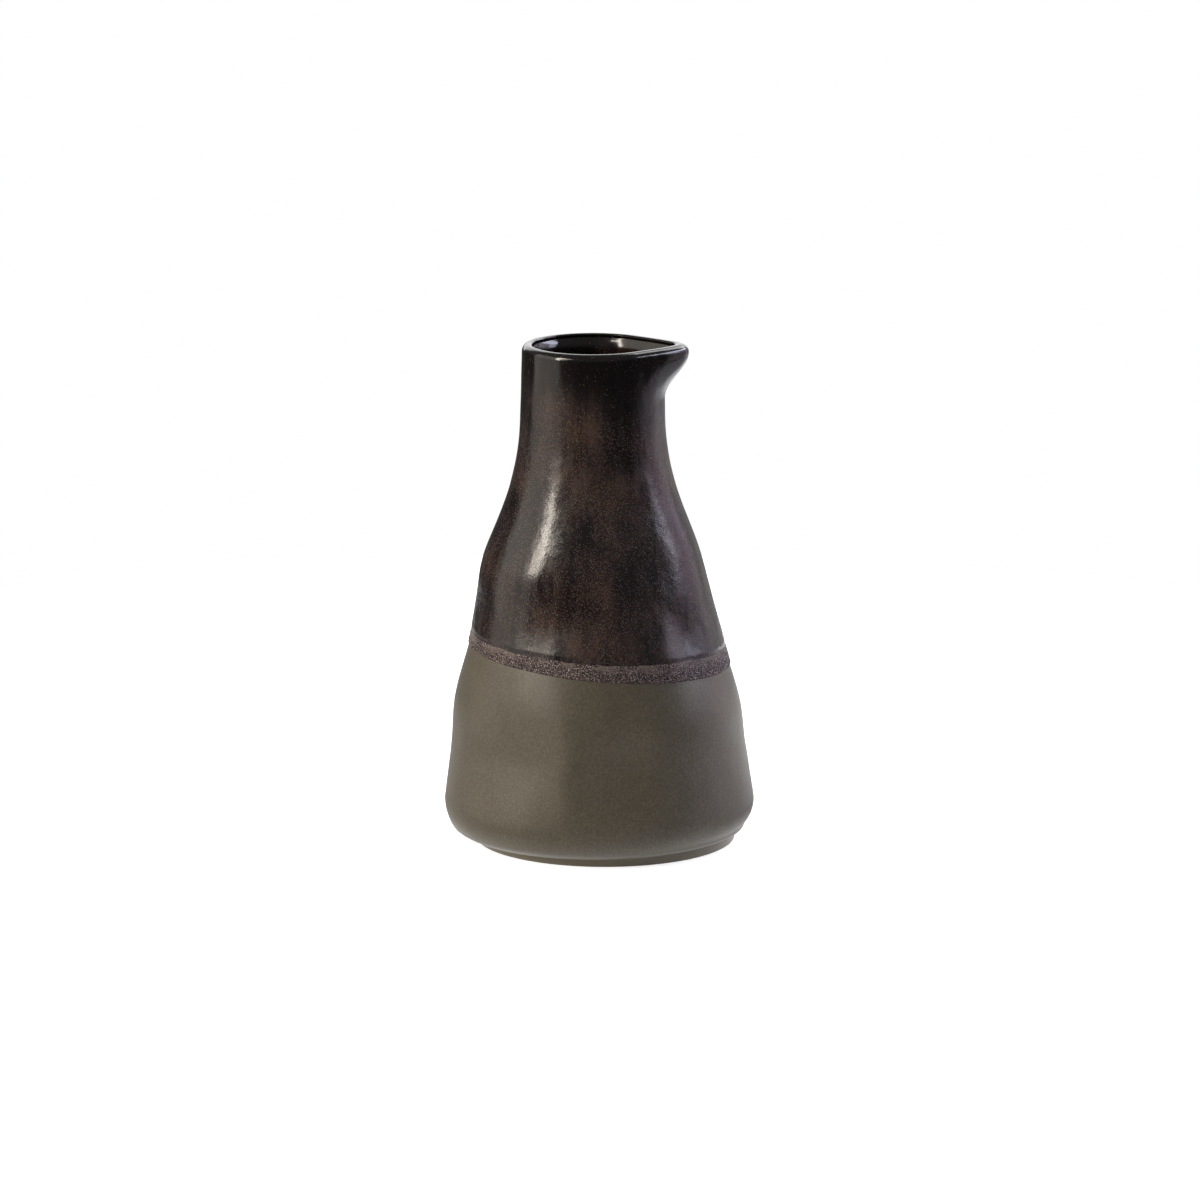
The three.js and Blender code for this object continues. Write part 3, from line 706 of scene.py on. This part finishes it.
# The crust's tree: swells and pits its face, short of its two edges, then sets crumbs in it
CRUST_SIZES = {
    "Relief": 0.3 * MM,
    "Relief Size": 0.6 * MM,
    "Crumb Spacing": 0.55 * MM,
    "Smallest Crumb": 0.12 * MM,
    "Largest Crumb": 0.28 * MM,
}
FACE_MIDDLE = 0.5
FACE_REACH = 0.42
FOAM_LEVEL = 0.45
CRUMB_SEED = 7
CRUMB_DENSITY = 4 / MM**2
CRUMB_FLATNESS = 0.6
crust_tree = bpy.data.node_groups.new("crust_and_crumbs", "GeometryNodeTree")
crust_tree.interface.new_socket("Band", in_out="INPUT", socket_type="NodeSocketGeometry")
crust_tree.interface.new_socket("Material", in_out="INPUT", socket_type="NodeSocketMaterial")
for name in CRUST_SIZES:
    crust_tree.interface.new_socket(name, in_out="INPUT", socket_type="NodeSocketFloat")
crust_tree.interface.new_socket("Crust", in_out="OUTPUT", socket_type="NodeSocketGeometry")
size = add(crust_tree, "NodeGroupInput").outputs
mark = add(crust_tree, "GeometryNodeInputNamedAttribute", {"Name": "mark"}, data_type="FLOAT")
inner = add(crust_tree, "ShaderNodeMath", [mark, FACE_MIDDLE, FACE_REACH], operation="COMPARE")
spot = add(crust_tree, "GeometryNodeInputPosition")
fineness = add(crust_tree, "ShaderNodeMath", [1.0, size["Relief Size"]], operation="DIVIDE")
foam = add(crust_tree, "ShaderNodeTexVoronoi", {"Vector": spot, "Scale": fineness}, feature="SMOOTH_F1")
foam = add(crust_tree, "ShaderNodeMath", [FOAM_LEVEL, foam.outputs["Distance"]], operation="SUBTRACT")
lift = add(crust_tree, "ShaderNodeMath", [foam, size["Relief"]], operation="MULTIPLY")
lift = add(crust_tree, "ShaderNodeMath", [lift, inner], operation="MULTIPLY")
outwards = add(crust_tree, "GeometryNodeInputNormal")
lift = add(crust_tree, "ShaderNodeVectorMath", {0: outwards, "Scale": lift}, operation="SCALE")
foamy = add(crust_tree, "GeometryNodeSetPosition", {"Geometry": size["Band"], "Offset": lift})
inputs = {
    "Mesh": foamy,
    "Selection": inner,
    "Distance Min": size["Crumb Spacing"],
    "Density Max": CRUMB_DENSITY,
    "Seed": CRUMB_SEED,
}
seats = add(crust_tree, "GeometryNodeDistributePointsOnFaces", inputs, distribute_method="POISSON")
pebble = add(crust_tree, "GeometryNodeMeshIcoSphere", {"Radius": 1.0, "Subdivisions": 1})
inputs = {2: size["Smallest Crumb"], 3: size["Largest Crumb"], "Seed": CRUMB_SEED}
width = add(crust_tree, "FunctionNodeRandomValue", inputs, data_type="FLOAT").outputs[1]
flat = add(crust_tree, "ShaderNodeMath", [width, CRUMB_FLATNESS], operation="MULTIPLY")
width = add(crust_tree, "ShaderNodeCombineXYZ", [width, width, flat])
inputs = {"Points": seats, "Instance": pebble, "Rotation": seats.outputs["Rotation"], "Scale": width}
set_in = add(crust_tree, "GeometryNodeInstanceOnPoints", inputs)
whole = add(crust_tree, "GeometryNodeJoinGeometry", {"Geometry": [foamy, set_in]})
whole = add(crust_tree, "GeometryNodeRealizeInstances", {"Geometry": whole})
whole = add(crust_tree, "GeometryNodeSetShadeSmooth", {"Geometry": whole})
whole = add(crust_tree, "GeometryNodeSetMaterial", {"Geometry": whole, "Material": size["Material"]})
add(crust_tree, "NodeGroupOutput", {"Crust": whole})
shape(band, crust_tree, {"Material": dry_crust, **CRUST_SIZES})
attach(band, "root")
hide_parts("rough_band")

# Table: a round white table top that the jug stands on. It lies a hair below the foot, so that the two faces
# don't flicker, and it keeps the jug's shadow.
TABLE_RADIUS = 0.42
TABLE_DROP = 0.1 * MM
TABLE_SIDES = 96
bpy.ops.mesh.primitive_circle_add(
    vertices=TABLE_SIDES, radius=TABLE_RADIUS, fill_type="NGON", location=(0, 0, -TABLE_DROP)
)
table_top = bpy.context.object
table_top.name = "table_top"

# White paper, which the camera sees as white. Reflections show it white only beside the foot and far off at
# the right, behind a slanting line, where it stands for the white background.
PAPER = "#e8e8e8"
CAMERA_GLOW = 0.8
FAR_SLANT = -0.8
FAR_FADE = (-20 * MM, 0.0)
RIGHT_FADE = (60 * MM, 120 * MM)
NEAR_FADE = (46 * MM, 62 * MM, 1.0, 0.0)
white_paper = new_material("white_paper")
tree = white_paper.node_tree
ray = add(tree, "ShaderNodeLightPath").outputs
spot = add(tree, "ShaderNodeTexCoord").outputs["Object"]
reach = add(tree, "ShaderNodeVectorMath", [spot], operation="LENGTH").outputs["Value"]
spot = add(tree, "ShaderNodeSeparateXYZ", [spot]).outputs
behind = add(tree, "ShaderNodeMath", [spot["X"], FAR_SLANT, spot["Y"]], operation="MULTIPLY_ADD")
far = add(tree, "ShaderNodeMapRange", [behind, *FAR_FADE])
right = add(tree, "ShaderNodeMapRange", [spot["X"], *RIGHT_FADE])
mirrored = add(tree, "ShaderNodeMath", [far, right], operation="MULTIPLY")
near = add(tree, "ShaderNodeMapRange", [reach, *NEAR_FADE])
mirrored = add(tree, "ShaderNodeMath", [mirrored, near], operation="MAXIMUM")
shiny = [ray["Is Glossy Ray"], ray["Is Transmission Ray"]]
shiny = add(tree, "ShaderNodeMath", shiny, operation="MAXIMUM")
mirrored = add(tree, "ShaderNodeMath", [mirrored, shiny], operation="MULTIPLY")
inputs = [ray["Is Camera Ray"], CAMERA_GLOW, mirrored]
seen = add(tree, "ShaderNodeMath", inputs, operation="MULTIPLY_ADD")
diffuse = add(tree, "ShaderNodeBsdfDiffuse", {"Color": hex_colour(PAPER)})
glow = add(tree, "ShaderNodeEmission", {"Color": hex_colour("#ffffff"), "Strength": seen})
shader = add(tree, "ShaderNodeAddShader", [diffuse, glow])
add(tree, "ShaderNodeOutputMaterial", {"Surface": shader})
table_top.data.materials.append(white_paper)

# Room: white to the camera and dim to the jug. Its reflections show the backdrop, brighter towards the right
# and white along the floor there, and a grey ceiling. Directions run from -1 to 1 along each axis.
ROOM_GLOW = 0.05
BACK_WALL = (0.2, 0.6)
RIGHT_WALL = (-0.05, 0.5, 0.05, 0.4)
STUDIO_FLOOR_RIGHT = (0.04, 0.14)
STUDIO_FLOOR_DOWN = (-0.14, -0.22)
CEILING = (0.05, 0.4, 0.06, 0.2)
world = bpy.data.worlds.new("white_studio")
bpy.context.scene.world = world
world.use_nodes = True
tree = world.node_tree
tree.nodes.clear()
ray = add(tree, "ShaderNodeLightPath").outputs
direction = add(tree, "ShaderNodeTexCoord").outputs["Generated"]
direction = add(tree, "ShaderNodeSeparateXYZ", [direction]).outputs
right_wall = add(
    tree, "ShaderNodeMapRange", [direction["X"], *RIGHT_WALL], interpolation_type="SMOOTHSTEP"
)
back_wall = add(tree, "ShaderNodeMapRange", [direction["Y"], *BACK_WALL], interpolation_type="SMOOTHSTEP")
floor_right = add(tree, "ShaderNodeMapRange", [direction["X"], *STUDIO_FLOOR_RIGHT])
floor = add(tree, "ShaderNodeMapRange", [direction["Z"], *STUDIO_FLOOR_DOWN])
floor = add(tree, "ShaderNodeMath", [floor, floor_right], operation="MULTIPLY")
backdrop = add(tree, "ShaderNodeMath", [right_wall, floor], operation="MAXIMUM")
backdrop = add(tree, "ShaderNodeMath", [back_wall, backdrop], operation="MULTIPLY")
ceiling = add(tree, "ShaderNodeMapRange", [direction["Z"], *CEILING], interpolation_type="SMOOTHSTEP")
mirrored = add(tree, "ShaderNodeMath", [backdrop, ceiling], operation="MAXIMUM")
to_jug, to_gloss, to_camera = [
    add(tree, "ShaderNodeBackground", {"Color": hex_colour("#ffffff"), "Strength": strength})
    for strength in (ROOM_GLOW, mirrored, 1.0)
]
shiny = [ray["Is Glossy Ray"], ray["Is Transmission Ray"]]
shiny = add(tree, "ShaderNodeMath", shiny, operation="MAXIMUM")
shader = add(tree, "ShaderNodeMixShader", [shiny, to_jug, to_gloss])
shader = add(tree, "ShaderNodeMixShader", [ray["Is Camera Ray"], shader, to_camera])
add(tree, "ShaderNodeOutputWorld", {"Surface": shader})

# Lamps: two warm ones at the left and two cool ones at the right, a screen and a card beside each pair, and
# soft lights behind. Each has its turn from the camera and its lift above the table in degrees, its width,
# height and distance in metres, its glow and its colour.
LAMP_AIM = Vector((0, 0, 85 * MM))
LAMPS = {
    "warm_softbox": (-59, 28, 0.14, 0.48, 1.0, 20, "#fff6e8"),
    "warm_top": (-47, 35, 0.24, 0.1, 1.0, 11, "#fff6e8"),
    "left_screen": (-82, 25, 1.2, 0.62, 1.15, 1.4, "#fff6ea"),
    "left_card": (-82, -3, 1.2, 0.55, 1.15, 1.05, "#fff6ea"),
    "cool_softbox": (92, 17, 0.2, 0.16, 1.0, 4, "#e6ecff"),
    "cool_top": (108, 27, 0.85, 0.15, 1.0, 11, "#e6e8ff"),
    "right_screen": (110, 14, 0.9, 0.32, 1.15, 1.2, "#f6defa"),
    "right_card": (110, -5.5, 0.9, 0.42, 1.15, 0.65, "#f8e8f6"),
    "far_softbox": (140, 42, 0.5, 0.5, 1.1, 4, "#ffffff"),
    "back_softbox": (180, 22, 1.2, 0.6, 1.0, 1.7, "#ffffff"),
}
for name, (turn, lift, width, height, away, glow, colour) in LAMPS.items():
    light = bpy.data.lights.new(name, "AREA")
    light.shape = "RECTANGLE"
    light.size, light.size_y = width, height
    light.energy = glow * math.pi * light.size * light.size_y
    light.color = hex_colour(colour)[:3]
    turn, lift = math.radians(turn), math.radians(lift)
    towards = Vector((math.sin(turn) * math.cos(lift), -math.cos(turn) * math.cos(lift), math.sin(lift)))
    holder = bpy.data.objects.new(name, light)
    holder.location = LAMP_AIM + towards * away
    holder.rotation_euler = towards.to_track_quat("Z", "Y").to_euler()
    holder.visible_camera = False
    bpy.context.scene.collection.objects.link(holder)

# Camera: a long lens two metres away, a little above the jug, with the spout to the right
SENSOR = 36
CAMERA_AWAY = 2.0
CAMERA_LIFT = math.radians(12)
FOCAL_LENGTH = 6700  # in pixels of the photograph, from the size of the jug in it
IMAGE_WIDTH = 1200
CAMERA_AIM = Vector((0.15 * MM, 0, 72.4 * MM))
camera = bpy.data.objects.new("camera", bpy.data.cameras.new("camera"))
camera.data.sensor_width = SENSOR
camera.data.lens = SENSOR * FOCAL_LENGTH / IMAGE_WIDTH
back = Vector((0, -math.cos(CAMERA_LIFT), math.sin(CAMERA_LIFT)))
camera.location = CAMERA_AIM + back * CAMERA_AWAY
camera.rotation_euler = back.to_track_quat("Z", "Y").to_euler()
bpy.context.scene.collection.objects.link(camera)
bpy.context.scene.camera = camera
bpy.context.scene.view_settings.view_transform = "Standard"
